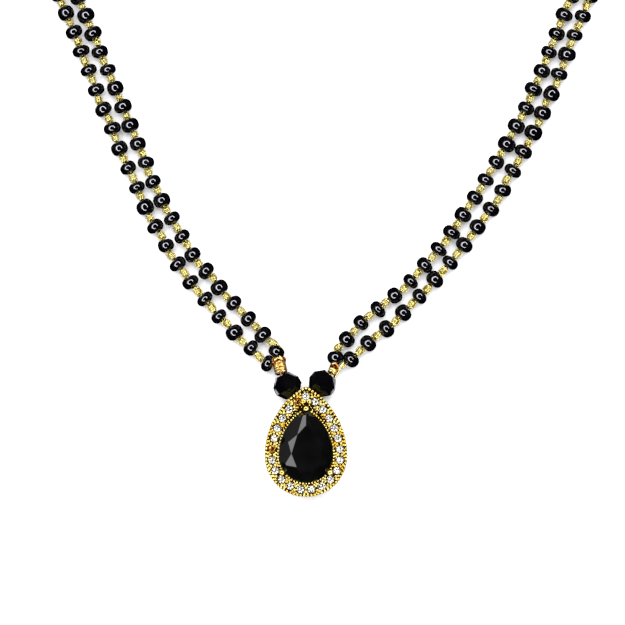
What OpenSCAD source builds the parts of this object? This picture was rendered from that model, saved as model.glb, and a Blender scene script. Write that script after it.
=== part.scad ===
// Mangalsutra: two strands of black seed beads a side, two faceted rondelles and a pear pendant.
// It lies on a surface. The origin is the middle of the pendant's flat back, +Z is up and +Y runs
// from the pendant to the clasp.

/* [Centre stone] */
// Width of the pear stone
stone_w = 8.1; // [7.6:0.1:8.6]
// Length of the pear stone
stone_l = 10.75; // [10:0.05:11.5]
// Radius of the stone's rounded tip
stone_tip_r = 1.2; // [0.9:0.1:1.5]
// Height of the crown, from girdle to table
crown_h = 1.2; // [1:0.05:1.4]
// Width of the crown's slope, from girdle to table
crown_inset = 1.85; // [1.5:0.05:2.2]
// Thickness of the girdle
girdle_h = 0.15; // [0.1:0.05:0.3]
// Slope of the pavilion below the girdle, in degrees
pavilion_slope = 38; // [32:1:40]

/* [Halo] */
// Width of the gold band from the centre stone to the outer edge
halo_band = 2.15; // [2:0.05:2.6]
// Extra length of the band at the tip
halo_tip_extra = 1.45; // [1:0.05:2]
// Radius of the halo's tip
halo_tip_r = 1; // [0.8:0.1:1.4]
// Number of small round stones in the halo
halo_count = 23; // [21:1:25]
// Diameter of a halo stone
halo_stone_d = 1.2; // [1:0.05:1.3]
// Distance of the row of stones from the outer edge
row_inset = 1.05; // [0.95:0.05:1.2]
// Thickness of the halo plate's upper step
plate_h = 0.7; // [0.6:0.05:1]
// Thickness of the lower, narrower step
under_plate_h = 0.5; // [0.4:0.05:0.8]
// How far the lower step is set in
under_plate_inset = 0.45; // [0.3:0.05:0.7]
// Width of the raised outer rim
rim_w = 0.34; // [0.25:0.01:0.45]
// Height of both rims above the plate
rim_h = 0.22; // [0.1:0.01:0.35]
// Width of the rim round the centre stone
inner_rim_w = 0.36; // [0.25:0.01:0.45]
// Radius of the grains that hold the halo stones
grain_r = 0.2; // [0.15:0.01:0.24]

/* [Cup] */
// Height of the halo plate's underside above the surface
cup_h = 3; // [2.8:0.1:3.6]
// Thickness of the cup's wall outside the stone's edge
cup_wall = 0.55; // [0.45:0.05:0.8]
// Thickness of the closed back
back_h = 0.6; // [0.4:0.1:0.8]
// Width of the ledge under the stone's edge
ledge_w = 0.45; // [0.3:0.05:0.6]
// Radius of the prongs
prong_r = 0.3; // [0.25:0.01:0.35]
// Radius of the balls on the prongs
prong_ball_r = 0.42; // [0.35:0.01:0.5]

/* [Rondelles] */
// Diameter of the faceted rondelles
rondelle_d = 4.3; // [4:0.1:4.5]
// Length of a rondelle along its hole
rondelle_l = 3.6; // [3.2:0.1:3.8]
// Length of the rondelle's widest band
rondelle_band = 1.1; // [0.8:0.1:1.4]
// Radius of the flat round the hole
rondelle_flat_r = 1.15; // [1:0.05:1.3]
// Facets round the rondelle
rondelle_facets = 10; // [8:2:12]
// Diameter of the hole
hole_d = 0.8; // [0.7:0.05:1]

/* [Connectors] */
// Diameter of the connectors' wire
pin_d = 0.4; // [0.36:0.02:0.44]
// Mean radius of the eye linked to the pendant
eye_r = 0.62; // [0.6:0.01:0.66]
// Mean radius of the pendant's back loops
loop_r = 0.66; // [0.64:0.01:0.7]
// Diameter of the back loops' wire
loop_wire_d = 0.36; // [0.32:0.02:0.4]
// Diameter of the wire in the wrapped coils
wrap_wire_d = 0.34; // [0.3:0.01:0.4]
// Turns in the left coil
left_turns = 6; // [5:1:6]
// Outer radius of the left coil
left_coil_r = 0.86; // [0.75:0.01:0.9]
// Turns in the right coil
right_turns = 3; // [2:1:3]
// Outer radius of the right coil
right_coil_r = 0.68; // [0.6:0.01:0.75]
// Mean radius of the eyes that take the strands
strand_eye_r = 0.36; // [0.3:0.01:0.38]

/* [Strands] */
// Diameter of the seed beads, and so of the strands
bead_d = 2.35; // [2:0.05:2.4]

/* [Clasp] */
// Length of the clasp's body
clasp_l = 8; // [7:0.5:9]
// Diameter of the clasp's body
clasp_d = 3; // [2.6:0.1:3.4]
// Mean radius of the rings at its ends
clasp_ring_r = 1.3; // [1.2:0.05:1.5]
// Diameter of the rings' wire
clasp_wire_d = 0.6; // [0.5:0.05:0.8]

/* [Clearances] */
// Gap round the centre stone in its cup
stone_gap = 0.05; // [0.03:0.01:0.1]
// Gap round each halo stone in its seat
seat_gap = 0.04; // [0.03:0.01:0.08]
// Gap between a rondelle and its coil
coil_gap = 0.15; // [0.1:0.05:0.2]
// Gap between a linked eye and the loop that it passes through
link_gap = 0.1; // [0.08:0.01:0.14]
// Gap between the rings of the clasp and the strands' ends
strand_gap = 0.15; // [0.1:0.05:0.3]

/* [Hidden] */
$fn = 48;
// Overlap of solids that are joined
eps = 0.01;
// Size of the blocks that cut the facets
big = 40;
// Extra length of the cutters beyond what they cut
over = 1;
// Facets round a long side arc and round a grain
side_fn = 96;
grain_fn = 24;
stone_r = stone_w / 2;
halo_r = stone_r + halo_band;
halo_l = stone_l + 2 * halo_band + halo_tip_extra;
row_r = halo_r - row_inset;
row_tip_r = halo_tip_r / 2;
row_tip_extra = row_inset / 4;
row_l = halo_l - 2 * row_inset - row_tip_extra;
// The round ends of all the pears share one centre, which puts the halo's middle at the origin
pear_y = halo_r - halo_l / 2;
plate_z = cup_h + under_plate_h;
top_z = plate_z + plate_h;
girdle_rise = 0.1;
girdle_z = top_z + girdle_rise;
table_z = girdle_z + girdle_h + crown_h;
lower_slope_extra = 3;
// How far a flat facet leaves the round edge between two facets
facet_dip = 0.16;
ledge_z = girdle_z - (ledge_w + facet_dip) * tan(pavilion_slope + lower_slope_extra) - stone_gap;
halo_girdle_rise = 0.02;
halo_girdle_z = top_z + halo_girdle_rise;
halo_crown_h = 0.2;
halo_pavilion_h = 0.5;
halo_table_share = 0.58;
// Distance of a grain from the middle of its gap, as a share of a stone's diameter
grain_spread = 0.36;

// Directions in which the centre stone's main facets face, clockwise from the tip
main_azimuths = [90, 31.5, 3, -50, -90, -130, -183, -211.5];
function between_azimuth(i) = (main_azimuths[i] + (i == 7 ? -270 : main_azimuths[i + 1])) / 2;
upper_slope_extra = 9;
star_slope = 21;
// The tip's own crown facet is small and steep, so the two star facets beside it meet at the middle
tip_slope = 60;
tip_inset_extra = 0.25;
tip_upper_extra = 20;
culet_r = 0.04;

// The two lower prongs stand at this gap of the row of stones, counted from the tip on each side
prong_gap = 8;
// Depth of the prongs in the plate, and their distance from the stone's edge
prong_root = 0.2;
prong_clear = 0.1;
// Each prong's ball stands just clear of the stone's edge, up from it at this angle
ball_gap = 0.06;
ball_rise = 38;
ball_offset = (prong_ball_r + ball_gap) * cos(ball_rise);
ball_z = girdle_z + girdle_h + (prong_ball_r + ball_gap) * sin(ball_rise);
prong_offset = prong_r + prong_clear;

rondelle_z = rondelle_d / 2;
pin_r = pin_d / 2;
wrap_r = wrap_wire_d / 2;
// Wrapped turns are pressed together to this share of the wire's width
wrap_press = 0.94;
wrap_pitch = wrap_wire_d * wrap_press;
shank_out = 0.15;
bend_extra = 0.04;
bend_r = pin_r + bend_extra;
coil_drop = 12;
// Each side's list holds the rondelle's middle x and y, the direction of its hole, the direction
// of the coil, the coil's turns and its radius. Both directions are in degrees from +X and point
// away from the pendant.
SIDE_X = 0;
SIDE_Y = 1;
SIDE_HOLE = 2;
SIDE_COIL = 3;
SIDE_TURNS = 4;
SIDE_COIL_R = 5;
left = [-2.82, 8.42, 117, 103, left_turns, left_coil_r];
right = [2.45, 8.75, 48, 66, right_turns, right_coil_r];

// Routes of the strands beside the pendant, from it to where they straighten
front_left_outer = [
    [-5.7, 11.8], [-6.7, 12.6], [-13.2, 18.9], [-19.4, 26.9], [-24.3, 35.4], [-28.2, 44.4],
    [-32, 53.5], [-35.2, 61.9]];
front_left_inner = [
    [-4.5, 13.5], [-5.2, 14.7], [-11, 21], [-17.1, 28.3], [-21.9, 36.7], [-25.5, 45.3],
    [-28.9, 53.6], [-32.2, 61.5]];
front_right_inner = [
    [4.5, 12.4], [4.8, 13.8], [8.2, 17.7], [15.8, 24.2], [22, 31.6], [27.1, 39.6],
    [31.8, 47.6], [35.6, 55.8], [38.6, 63.5]];
front_right_outer = [
    [6.5, 12.3], [7.5, 13.1], [14.7, 19.4], [21.9, 27.2], [28.1, 35.4], [32.9, 43.9],
    [37.3, 52.9], [40.7, 61.4]];
clasp_y = 183.1;
clasp_z = clasp_d / 2;
clasp_reach = clasp_l / 2 + 2 * clasp_ring_r + clasp_wire_d / 2;
strand_end_x = clasp_reach + strand_gap;
end_gap = 0.1;
end_spread = bead_d / 2 + end_gap;

// Behind the neck each strand follows half an ellipse. The loop is widest at wide_y and its two
// sides are alike about the line x = mid_x. Each pair of strands keeps this spread on either side
// of its middle line.
mid_x = 2.8;
wide_y = 127;
arch_half_w = 57.35;
arch_gap = 0.35;
arch_spread = bead_d / 2 + arch_gap;
arch_steps = 8;
// Shares of the way in x and y from a strand's last point beside the pendant to its widest point
arm_shares = [
    [0.139, 0.112], [0.308, 0.249], [0.476, 0.386], [0.644, 0.522], [0.803, 0.654], [0.957, 0.828]];

LEFT = -1;
RIGHT = 1;
OUTER = 1;
INNER = -1;
function arch_point(side, out, a) = [
    mid_x + side * (arch_half_w + out * arch_spread) * cos(a),
    wide_y + (clasp_y - wide_y + out * end_spread) * sin(a)];
function arm_point(start, end, share) = [
    start[0] + (end[0] - start[0]) * share[0], start[1] + (end[1] - start[1]) * share[1]];
function whole_route(front, side, out) = concat(
    front,
    [for (share = arm_shares) arm_point(front[len(front) - 1], arch_point(side, out, 0), share)],
    [for (k = [0:arch_steps - 1]) arch_point(side, out, 90 * k / arch_steps)],
    [[mid_x + side * strand_end_x, clasp_y + out * end_spread]]);
route_left_outer = whole_route(front_left_outer, LEFT, OUTER);
route_left_inner = whole_route(front_left_inner, LEFT, INNER);
route_right_inner = whole_route(front_right_inner, RIGHT, INNER);
route_right_outer = whole_route(front_right_outer, RIGHT, OUTER);
strand_sides = 8;
strand_steps = 2;
// Radii of the first and last rings as shares of the full one, which round the strands' ends
strand_end_shares = [0.55, 0.85];

function two_digits(n) = n < 10 ? str("0", n) : str(n);
halo_names = [for (i = [1:halo_count]) str("halo_stone_", two_digits(i))];

// A pear has a round end of radius r about the origin, a tip of radius t centred d above it, and
// side arcs that meet both smoothly
function tip_distance(r, t, l) = l - r - t;
function side_radius(r, t, d) = (d * d + r * r - t * t) / (2 * (r - t));
function tip_azimuth(r, t, d) = atan2(d, side_radius(r, t, d) - r);

// Point on a pear where its edge faces the direction a
function pear_point(r, t, d, a) = let (
    b = asin(sin(a)),
    side_r = side_radius(r, t, d),
    p = b < 0 ? [r * cos(b), r * sin(b)]
        : b < tip_azimuth(r, t, d) ? [r + side_r * (cos(b) - 1), side_r * sin(b)]
        : [t * cos(b), d + t * sin(b)])
    [cos(a) < 0 ? -p[0] : p[0], p[1]];

// Length of the right half's edge, and the direction its edge faces at a distance s from the tip
function tip_arc(r, t, d) = t * (90 - tip_azimuth(r, t, d)) * PI / 180;
function side_arc(r, t, d) = side_radius(r, t, d) * tip_azimuth(r, t, d) * PI / 180;
function half_edge(r, t, d) = tip_arc(r, t, d) + side_arc(r, t, d) + r * PI / 2;
function azimuth_at(r, t, d, s) =
    s < tip_arc(r, t, d) ? 90 - s / t * 180 / PI
    : s < tip_arc(r, t, d) + side_arc(r, t, d)
        ? tip_azimuth(r, t, d) - (s - tip_arc(r, t, d)) / side_radius(r, t, d) * 180 / PI
    : -(s - tip_arc(r, t, d) - side_arc(r, t, d)) / r * 180 / PI;

// Point and direction at a share of the way round a pear, clockwise from the tip
function around(r, t, d, share) = share > 0.5
    ? let (other = around(r, t, d, 1 - share)) [-other[0], other[1], 180 - other[2]]
    : let (a = azimuth_at(r, t, d, 2 * share * half_edge(r, t, d)), p = pear_point(r, t, d, a))
        [p[0], p[1], a];

stone_d = tip_distance(stone_r, stone_tip_r, stone_l);
halo_d = tip_distance(halo_r, halo_tip_r, halo_l);
row_d = tip_distance(row_r, row_tip_r, row_l);

module pear(r, t, d) {
    side_r = side_radius(r, t, d);
    meet_y = side_r * sin(tip_azimuth(r, t, d));
    circle(r);
    intersection() {
        translate([r - side_r, 0]) circle(side_r, $fn = side_fn);
        translate([side_r - r, 0]) circle(side_r, $fn = side_fn);
        translate([-r, 0]) square([2 * r, meet_y]);
    }
    translate([0, d]) circle(t);
}

module pear_block(r, t, d, grow, z0, z1)
    translate([0, pear_y, z0]) linear_extrude(z1 - z0) pear(r + grow, t + grow, d);

module stone_block(grow, z0, z1) pear_block(stone_r, stone_tip_r, stone_d, grow, z0, z1);
module halo_block(grow, z0, z1) pear_block(halo_r, halo_tip_r, halo_d, grow, z0, z1);

// Space below a plane through the point p that faces the direction a and slopes away from level
module below_facet(p, a, slope, z)
    translate([p[0], p[1] + pear_y, z]) rotate([0, 0, a]) rotate([0, slope, 0])
        translate([-big, -big / 2, -big]) cube([2 * big, big, big]);
module above_facet(p, a, slope, z)
    translate([p[0], p[1] + pear_y, z]) rotate([0, 0, a]) rotate([0, -slope, 0])
        translate([-big, -big / 2, 0]) cube([2 * big, big, big]);

function girdle_point(a) = pear_point(stone_r, stone_tip_r, stone_d, a);
function table_corner(i) = let (
    a = main_azimuths[i % 8], p = girdle_point(a),
    inset = crown_inset + (a == main_azimuths[0] ? tip_inset_extra : 0))
    [p[0] - inset * cos(a), p[1] - inset * sin(a)];

module centre_stone() color("#121214") {
    crown_slope = atan2(crown_h, crown_inset);
    intersection() {
        stone_block(0, back_h, table_z);
        main_facets(crown_slope);
        upper_facets(crown_slope);
        star_facets();
        pavilion_facets();
        lower_facets();
    }
}

module main_facets(slope)
    intersection_for (a = main_azimuths)
        below_facet(girdle_point(a), a, a == main_azimuths[0] ? tip_slope : slope, girdle_z + girdle_h);

module upper_facets(slope)
    intersection_for (i = [0:7]) {
        extra = i == 0 || i == 7 ? tip_upper_extra : upper_slope_extra;
        below_facet(
            girdle_point(between_azimuth(i)), between_azimuth(i), slope + extra, girdle_z + girdle_h);
    }

module star_facets()
    intersection_for (i = [0:7]) {
        p = table_corner(i);
        q = table_corner(i + 1);
        below_facet((p + q) / 2, atan2(p[0] - q[0], q[1] - p[1]) + 180, star_slope, table_z);
    }

module pavilion_facets()
    intersection_for (a = main_azimuths) above_facet(girdle_point(a), a, pavilion_slope, girdle_z);

module lower_facets()
    intersection_for (i = [0:7])
        above_facet(girdle_point(between_azimuth(i)), between_azimuth(i),
            pavilion_slope + lower_slope_extra, girdle_z);

// A round stone cut with a table, eight crown facets and eight pavilion facets
module halo_stone(i) color("#e8f2f6") {
    place = around(row_r, row_tip_r, row_d, (i - 1) / halo_count);
    translate([place[0], place[1] + pear_y, halo_girdle_z]) rotate([0, 0, place[2]]) {
        cylinder(h = halo_crown_h, d1 = halo_stone_d, d2 = halo_stone_d * halo_table_share, $fn = 8);
        translate([0, 0, -halo_pavilion_h])
            cylinder(h = halo_pavilion_h, r1 = culet_r, d2 = halo_stone_d, $fn = 8);
    }
}

module setting() color("#e3b53c") {
    difference() {
        union() {
            stone_block(cup_wall, 0, plate_z);
            halo_block(-under_plate_inset, cup_h, plate_z);
            halo_block(0, plate_z, top_z);
            difference() {
                halo_block(0, top_z - eps, top_z + rim_h);
                halo_block(-rim_w, top_z - over, top_z + over);
            }
            stone_block(stone_gap + inner_rim_w, top_z - eps, top_z + rim_h);
        }
        stone_block(stone_gap, ledge_z, top_z + over);
        stone_block(-ledge_w, back_h, top_z + over);
        halo_seats();
    }
    prongs();
    halo_grains();
    back_loop(left);
    back_loop(right);
}

module halo_seats()
    for (i = [0:halo_count - 1]) {
        place = around(row_r, row_tip_r, row_d, i / halo_count);
        translate([place[0], place[1] + pear_y, halo_girdle_z - halo_pavilion_h - seat_gap])
            cylinder(h = halo_pavilion_h + over, d = halo_stone_d + 2 * seat_gap);
    }

function gap_place(i) = around(row_r, row_tip_r, row_d, (i + 0.5) / halo_count);

module prongs()
    for (a = [90, gap_place(prong_gap)[2], gap_place(halo_count - 1 - prong_gap)[2]]) {
        p = girdle_point(a);
        out = [cos(a), sin(a)];
        translate([
            p[0] + prong_offset * out[0], p[1] + prong_offset * out[1] + pear_y, top_z - prong_root])
            cylinder(h = ball_z - top_z + prong_root, r = prong_r);
        translate([p[0] + ball_offset * out[0], p[1] + ball_offset * out[1] + pear_y, ball_z])
            sphere(prong_ball_r);
    }

// Two grains stand in each gap of the row, one at either side of its middle line
module halo_grains()
    for (i = [0:halo_count - 1]) {
        place = gap_place(i);
        for (side = [-1, 1])
            translate([
                place[0] + side * halo_stone_d * grain_spread * cos(place[2]),
                place[1] + side * halo_stone_d * grain_spread * sin(place[2]) + pear_y,
                top_z + grain_r / 2])
                sphere(grain_r, $fn = grain_fn);
    }

// Distances along a connector from the rondelle's middle towards the pendant
eye_middle = rondelle_l / 2 + coil_gap + eye_r + pin_r;
loop_middle = eye_middle + eye_r + loop_r - (pin_d + loop_wire_d) / 2 - link_gap;
loop_rise = 0.12;
loop_z = rondelle_z + loop_rise;

// A loop under the halo's tip stands on edge in line with the connector that it holds
module back_loop(side) {
    along = side[SIDE_HOLE] + 180;
    translate([
        side[SIDE_X] + loop_middle * cos(along), side[SIDE_Y] + loop_middle * sin(along), loop_z])
        rotate([90, 0, along]) rotate_extrude() translate([loop_r, 0]) circle(loop_wire_d / 2);
}

module rondelle(side) color("#0c0c0e")
    translate([side[SIDE_X], side[SIDE_Y], rondelle_z]) rotate([0, 0, side[SIDE_HOLE]])
        difference() {
            rondelle_form();
            rotate([0, 90, 0]) cylinder(h = 2 * rondelle_l, d = hole_d, center = true);
        }

// Four rings of corners, each turned half a facet from the last, make rows of flat triangles
module rondelle_form() {
    n = rondelle_facets;
    flat_turn = 90 / n;
    rings = [
        [-rondelle_l / 2, rondelle_flat_r, 1], [-rondelle_band / 2, rondelle_d / 2, 0],
        [rondelle_band / 2, rondelle_d / 2, 1], [rondelle_l / 2, rondelle_flat_r, 2]];
    points = [for (g = rings) for (k = [0:n - 1])
        let (a = 360 * k / n + g[2] * 180 / n + flat_turn) [g[0], g[1] * cos(a), g[1] * sin(a)]];
    faces = concat(
        [[for (k = [0:n - 1]) k]],
        [[for (k = [0:n - 1]) 3 * n + n - 1 - k]],
        [for (g = [0:2]) for (k = [0:n - 1]) for (half = [0, 1]) let (
            a = g * n + k, b = g * n + (k + 1) % n,
            turned = rings[g + 1][2] < rings[g][2],
            c = (g + 1) * n + k, d = (g + 1) * n + (k + 1) % n)
            turned ? (half == 0 ? [a, c, d] : [a, d, b]) : (half == 0 ? [a, c, b] : [b, c, d])]);
    polyhedron(points, faces);
}

// Gold wire: an eye in the pendant's back loop, a shank through the rondelle, a wrapped coil and an
// eye for the two strands
module connector(side) color("#d9a437") {
    outside = rondelle_l / 2 + shank_out;
    coil_l = (side[SIDE_TURNS] - 1) * wrap_pitch + wrap_wire_d;
    translate([side[SIDE_X], side[SIDE_Y], rondelle_z]) {
        rotate([0, 0, side[SIDE_HOLE]]) {
            translate([-eye_middle, 0, 0])
                rotate_extrude() translate([eye_r, 0]) circle(pin_r);
            translate([-eye_middle + eye_r, 0, 0]) rotate([0, 90, 0])
                cylinder(h = eye_middle - eye_r + outside, r = pin_r);
        }
        translate([outside * cos(side[SIDE_HOLE]), outside * sin(side[SIDE_HOLE]), 0])
            rotate([0, 0, side[SIDE_COIL]]) rotate([0, coil_drop, 0]) {
                sphere(bend_r);
                rotate([0, 90, 0]) coil(side, coil_l);
                translate([coil_gap + coil_l + strand_eye_r, 0, 0])
                    rotate_extrude() translate([strand_eye_r, 0]) circle(wrap_r);
            }
    }
}

// Turns of wire lie side by side round the shank, pressed together a little
module coil(side, coil_l) {
    mean_r = side[SIDE_COIL_R] - wrap_r;
    cylinder(h = coil_gap + coil_l, r = pin_r);
    rotate_extrude() {
        translate([0, coil_gap + wrap_r]) square([mean_r, coil_l - wrap_wire_d]);
        for (k = [0:side[SIDE_TURNS] - 1])
            translate([mean_r, coil_gap + wrap_r + k * wrap_pitch]) circle(wrap_r);
    }
}

// Smooth curve through four points in turn, at a share u of the way from the second to the third
function curve_at(a, b, c, d, u) =
    (2 * b + (c - a) * u + (2 * a - 5 * b + 4 * c - d) * u * u + (3 * b - a - 3 * c + d) * u * u * u) / 2;
function route_point(route, i) = route[max(0, min(len(route) - 1, i))];
function smooth_route(route) = concat(
    [for (i = [0:len(route) - 2]) for (k = [0:strand_steps - 1]) curve_at(
        route_point(route, i - 1), route[i], route[i + 1], route_point(route, i + 2),
        k / strand_steps)],
    [route[len(route) - 1]]);
function heading(line, i) = let (
    step = line[min(len(line) - 1, i + 1)] - line[max(0, i - 1)]) step / norm(step);

// A tube of flat-sided rings swept along a route, narrower at both ends
module strand(route) color("#101012") {
    line = smooth_route(route);
    n = len(line);
    flat_r = bead_d / 2;
    corner_r = flat_r / cos(180 / strand_sides);
    points = [for (i = [0:n - 1]) for (k = [0:strand_sides - 1]) let (
        h = heading(line, i),
        a = 360 * (k + 0.5) / strand_sides,
        from_end = min(i, n - 1 - i),
        r = corner_r * (from_end < len(strand_end_shares) ? strand_end_shares[from_end] : 1))
        [line[i][0] + h[1] * r * cos(a), line[i][1] - h[0] * r * cos(a), flat_r + r * sin(a)]];
    faces = concat(
        [[for (k = [0:strand_sides - 1]) k]],
        [[for (k = [0:strand_sides - 1]) n * strand_sides - 1 - k]],
        [for (i = [0:n - 2]) for (k = [0:strand_sides - 1]) for (half = [0, 1]) let (
            a = i * strand_sides + k, b = i * strand_sides + (k + 1) % strand_sides,
            c = a + strand_sides, d = b + strand_sides)
            half == 0 ? [a, c, b] : [b, c, d]]);
    polyhedron(points, faces);
}

// One plain piece: a barrel with a ring at each end
module clasp() color("#d9a437")
    translate([mid_x, clasp_y, clasp_z]) {
        rotate([0, 90, 0]) cylinder(h = clasp_l, d = clasp_d, center = true);
        for (side = [-1, 1])
            translate([side * (clasp_l / 2 + clasp_ring_r), 0, 0])
                rotate_extrude() translate([clasp_ring_r, 0]) circle(clasp_wire_d / 2);
    }

setting();
centre_stone();
for (i = [1:halo_count]) halo_stone(i);
rondelle(left);  // rondelle_left
rondelle(right);  // rondelle_right
connector(left);  // connector_left
connector(right);  // connector_right
strand(route_left_outer);  // strand_left_outer
strand(route_left_inner);  // strand_left_inner
strand(route_right_inner);  // strand_right_inner
strand(route_right_outer);  // strand_right_outer
clasp();
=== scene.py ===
import functools
import math
import random

import bmesh
import bpy
from mathutils import Matrix, Vector


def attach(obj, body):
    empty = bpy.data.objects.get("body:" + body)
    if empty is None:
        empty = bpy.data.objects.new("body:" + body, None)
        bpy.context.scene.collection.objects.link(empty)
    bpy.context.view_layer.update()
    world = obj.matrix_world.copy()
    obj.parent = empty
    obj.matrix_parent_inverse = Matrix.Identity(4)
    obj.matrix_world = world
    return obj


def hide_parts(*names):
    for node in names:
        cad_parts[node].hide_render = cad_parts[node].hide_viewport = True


bl_info = {
    "name": "Mangalsutra Looks",
    "version": (1, 0, 0),
    "blender": (4, 5, 0),
    "location": "View3D > Sidebar > Mangalsutra",
    "description": "Dresses the necklace with its beads, wire links, cut stones and finishes",
    "category": "Object",
}

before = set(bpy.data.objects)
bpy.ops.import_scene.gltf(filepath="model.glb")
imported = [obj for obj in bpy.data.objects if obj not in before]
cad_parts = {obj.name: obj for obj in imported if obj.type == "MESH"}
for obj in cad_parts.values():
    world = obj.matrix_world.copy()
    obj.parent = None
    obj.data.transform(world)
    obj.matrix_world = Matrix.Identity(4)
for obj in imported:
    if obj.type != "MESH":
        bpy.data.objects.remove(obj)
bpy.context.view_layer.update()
MM = 0.001
EAST, NORTH, UP = Vector((1, 0, 0)), Vector((0, 1, 0)), Vector((0, 0, 1))

# Sizes of the frame that the pieces below follow, in millimetres, mostly named as in its source
STONE_R = 4.05
STONE_TIP_R = 1.2
STONE_L = 10.75
HALO_R = 6.2
HALO_TIP_R = 1.0
HALO_L = 16.5
RIM_W = 0.34
INNER_RIM_W = 0.36
TOP_Z = 4.2
RIM_TOP_Z = 4.42
ROW_R = 5.15
ROW_TIP_R = 0.5
ROW_L = 14.1375
HALO_COUNT = 23
HALO_STONE_D = 1.2
HALO_GIRDLE_Z = 4.22
PEAR_Y = HALO_R - HALO_L / 2
PRONG_BALL_R = 0.42
PRONG_OUT = 0.378
PRONG_Z = 4.7455
PRONG_GAPS = (8, 14)
RONDELLE_R = 2.15
RONDELLE_L = 3.6
RONDELLE_BAND = 1.1
RONDELLE_FLAT_R = 1.15
RONDELLE_FACETS = 10
RONDELLE_HOLE_R = 0.4
COIL_GAP = 0.15
SHANK_OUT = 0.15
COIL_DROP = 12
PIN_EYE_R = 0.62
MID_X = 2.8
CLASP_Y = 183.1
CLASP_REACH = 6.9
CLASP_Z = 1.5
CLASP_RING_R = 1.3
CLASP_WIRE_R = 0.3

# Routes of the strands beside the pendant, in millimetres, from it to where they straighten
FRONT_ROUTES = {
    "left_outer": [
        (-5.7, 11.8), (-6.7, 12.6), (-13.2, 18.9), (-19.4, 26.9), (-24.3, 35.4), (-28.2, 44.4),
        (-32, 53.5), (-35.2, 61.9)],
    "left_inner": [
        (-4.5, 13.5), (-5.2, 14.7), (-11, 21), (-17.1, 28.3), (-21.9, 36.7), (-25.5, 45.3),
        (-28.9, 53.6), (-32.2, 61.5)],
    "right_inner": [
        (4.5, 12.4), (4.8, 13.8), (8.2, 17.7), (15.8, 24.2), (22, 31.6), (27.1, 39.6),
        (31.8, 47.6), (35.6, 55.8), (38.6, 63.5)],
    "right_outer": [
        (6.5, 12.3), (7.5, 13.1), (14.7, 19.4), (21.9, 27.2), (28.1, 35.4), (32.9, 43.9),
        (37.3, 52.9), (40.7, 61.4)],
}
# Half ellipses behind the neck, and shares of the way to their widest points
WIDE_Y = 127
ARCH_HALF_W = 57.35
ARCH_SPREAD = 1.525
END_SPREAD = 1.275
STRAND_END_X = 7.05
ARCH_STEPS = 8
ARM_SHARES = [
    (0.139, 0.112), (0.308, 0.249), (0.476, 0.386), (0.644, 0.522), (0.803, 0.654), (0.957, 0.828)]
CURVE_STEPS = 16
# Room between the last bead and the clasp, for the eye between them, and its play on the ring
END_ROOM = 1.4
END_SLACK = 0.06
# Distance of each strand's first bead from its route's start, its bead spacing at the pendant, and
# how much less the spacing is where the strand leaves the photograph, in millimetres
STRAND_SPACING = {
    "left_outer": (0.14, 3.46, 0.39),
    "left_inner": (0.11, 3.31, 0.39),
    "right_inner": (0.33, 3.33, 0.32),
    "right_outer": (0.35, 3.59, 0.48),
}
VISIBLE_BEADS = 20
# Steps of a bead's outline from its middle to an end, points round it, its hole's share of it, and
# where the hole starts to narrow inside and how narrow it gets, as shares
BEAD_STEPS = 6
BEAD_SIDES = 20
HOLE_SHARE = 0.24
HOLE_WAIST = (0.75, 0.8)
# How oblong an eye of the links is, 2 for an oval, and the upright eye's wire as a share of the flat's
EYE_SQUARE = 4
UPRIGHT_SHARE = 1.15
# Room between an eye's turns, in wire widths, and how far its tail reaches into the bead, in radii
TURN_ROOM = 1.04
EYE_TAIL = 3
FIRST_EYE_R = 0.36
# Rounded ends of wire: how far they stand out and how wide they are, in wire radii
WIRE_END = (0.5, 0.55)
# How the beads differ: shares of the usual diameter, and of the usual length with the commonest last
BEAD_DIAMETERS = (0.93, 1.06)
BEAD_LENGTHS = (0.8, 1.28, 0.95)
# Spread of the beads' lean and of the links' roll in degrees, and most extra length of a bead's side
BEAD_LEAN, LINK_ROLL, BEAD_SKEW = 7, 10, 0.14

# Grains keep this far from the middle of a prong's ball
PRONG_ROOM = 0.6
# Claws in each gap of the row: place along it and across it, and size
CLAW_PLACES = (
    (0, 0.3, 1), (0, -0.3, 1), (0.27, 0.62, 0.9), (-0.27, 0.62, 0.9), (0.22, -0.62, 0.85),
    (-0.22, -0.62, 0.85))
# Height of the small stones' crowns and depth of their pavilions, and how far they lean, in degrees
CROWN_H = 0.2
PAVILION_H = 0.56
STONE_LEAN = 7
# Radii of a small stone's table, of the tips of its stars and of its lower facets, as shares
CUT_SHARES = (0.57, 0.8, 0.24)
# Stones of the halo whose gold tint and metal shine paint a reflection of the gold setting
REFLECTING_STONES = (18, 23)
# Seeds of the small differences between stones, and between grains of the rims, plate and claws
STONE_SEED, RIM_SEED, PLATE_SEED, CLAW_SEED = 11, 5, 21, 8

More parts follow.
